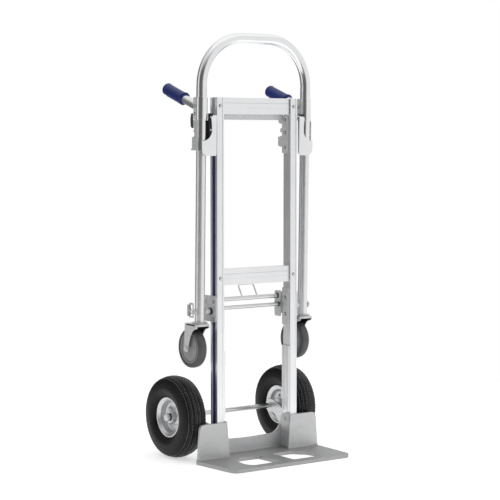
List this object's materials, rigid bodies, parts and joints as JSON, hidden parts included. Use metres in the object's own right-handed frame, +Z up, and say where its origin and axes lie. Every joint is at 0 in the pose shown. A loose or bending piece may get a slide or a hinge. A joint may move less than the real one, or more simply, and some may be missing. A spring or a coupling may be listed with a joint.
{
  "type": "hand truck",
  "caption": "Aluminium hand truck with a cast toe plate and pneumatic wheels; its tubular handle frame slides up and tilts over swivel casters to make a platform cart.",
  "frame": {"origin": "middle of the footprint (toe plate front edge to tyre rear, and side to side) on the floor", "axes": "+Z up along the rails, +Y towards the wheels at the rear, +X to the truck's right as seen from the toe plate's side looking rearward"},
  "size_m": [0.508, 0.455, 1.3068],
  "materials": {
    "satin": "satin, lightly brushed",
    "polished": "polished",
    "cast": "as cast, matte",
    "zinc": "zinc plated",
    "strip": "matte",
    "grip": "matte",
    "tyre": "matte",
    "caster_tyre": "matte",
    "caster_hub": "matte",
    "black": "satin"
  },
  "bodies": {
    "frame": {"rail_left": "satin", "rail_right": "satin", "slide_strip_left": "strip", "slide_strip_right": "strip", "rail_sleeve_left": "satin", "rail_sleeve_right": "satin", "upper_latch_left": "zinc", "upper_latch_right": "zinc", "lower_latch_left": "zinc", "lower_latch_right": "zinc", "edge_strip_left": "satin", "edge_strip_right": "satin", "axle_bracket_left": "black", "axle_bracket_right": "black", "axle_cap_left": "zinc", "axle_cap_right": "zinc", "top_crossbar": "satin", "top_rear_bar": "satin", "middle_crossbar": "satin", "toe_plate": "cast", "axle": "zinc"},
    "carriage": {"carriage_bracket_left": "zinc", "carriage_bracket_right": "zinc", "pivot_washer_left": "black", "pivot_washer_right": "black", "pivot_bolt_left": "zinc", "pivot_bolt_right": "zinc", "lower_rod": "zinc"},
    "release": {"release_bar": "zinc"},
    "handle": {"handle_loop": "polished", "handle_leg_left": "polished", "handle_leg_right": "polished", "grip_clamp_left": "satin", "grip_clamp_right": "satin", "grip_stub_left": "polished", "grip_stub_right": "polished", "grip_left": "grip", "grip_right": "grip", "hook_plate_left": "satin", "hook_plate_right": "satin", "guide_pad_left": "black", "guide_pad_right": "black", "catch_plate_left": "zinc", "catch_plate_right": "zinc", "caster_mount_left": "zinc", "caster_mount_right": "zinc"},
    "wheel_left": {"tyre_left": "tyre", "rim_left": "zinc"},
    "tilt_latch_left": {"tilt_latch_left": "zinc"},
    "swivel_left": {"caster_fork_left": "zinc", "caster_axle_left": "zinc"},
    "caster_wheel_left": {"caster_tyre_left": "caster_tyre", "caster_hub_left": "caster_hub"},
    "wheel_right": {"tyre_right": "tyre", "rim_right": "zinc"},
    "tilt_latch_right": {"tilt_latch_right": "zinc"},
    "swivel_right": {"caster_fork_right": "zinc", "caster_axle_right": "zinc"},
    "caster_wheel_right": {"caster_tyre_right": "caster_tyre", "caster_hub_right": "caster_hub"}
  },
  "joints": [
    {"name": "carriage_slide", "type": "slide", "parent": "frame", "child": "carriage", "axis": [0, 0, 1], "range_m": [0, 0.534]},
    {"name": "release_turn", "type": "hinge", "parent": "carriage", "child": "release", "pos_m": [0, 0.0085, 0.4915], "axis": [1, 0, 0], "range_deg": [-35, 0], "stiffness_Nm_per_rad": 0.2, "springref_deg": 20.05},
    {"name": "handle_tilt", "type": "hinge", "parent": "carriage", "child": "handle", "pos_m": [0, -0.0105, 0.46], "axis": [1, 0, 0], "range_deg": [0, 90]},
    {"name": "wheel_spin_left", "type": "hinge", "parent": "frame", "child": "wheel_left", "pos_m": [-0.214, 0.1005, 0.127], "axis": [1, 0, 0], "continuous": true},
    {"name": "latch_left", "type": "hinge", "parent": "handle", "child": "tilt_latch_left", "pos_m": [-0.215, -0.0105, 0.46], "axis": [1, 0, 0], "range_deg": [0, 15], "stiffness_Nm_per_rad": 0.15, "springref_deg": -22.92},
    {"name": "caster_swivel_left", "type": "hinge", "parent": "handle", "child": "swivel_left", "pos_m": [-0.198, -0.0105, 0.46], "axis": [0, -0.0183, 0.9998], "range_deg": [-35, 195]},
    {"name": "caster_roll_left", "type": "hinge", "parent": "swivel_left", "child": "caster_wheel_left", "pos_m": [-0.198, 0.02858, 0.3467], "axis": [1, 0, 0], "continuous": true},
    {"name": "wheel_spin_right", "type": "hinge", "parent": "frame", "child": "wheel_right", "pos_m": [0.214, 0.1005, 0.127], "axis": [1, 0, 0], "continuous": true},
    {"name": "latch_right", "type": "hinge", "parent": "handle", "child": "tilt_latch_right", "pos_m": [0.215, -0.0105, 0.46], "axis": [1, 0, 0], "range_deg": [0, 15], "stiffness_Nm_per_rad": 0.15, "springref_deg": -22.92},
    {"name": "caster_swivel_right", "type": "hinge", "parent": "handle", "child": "swivel_right", "pos_m": [0.198, -0.0105, 0.46], "axis": [0, -0.0183, 0.9998], "range_deg": [-195, 35]},
    {"name": "caster_roll_right", "type": "hinge", "parent": "swivel_right", "child": "caster_wheel_right", "pos_m": [0.198, 0.02858, 0.3467], "axis": [1, 0, 0], "continuous": true}
  ]
}
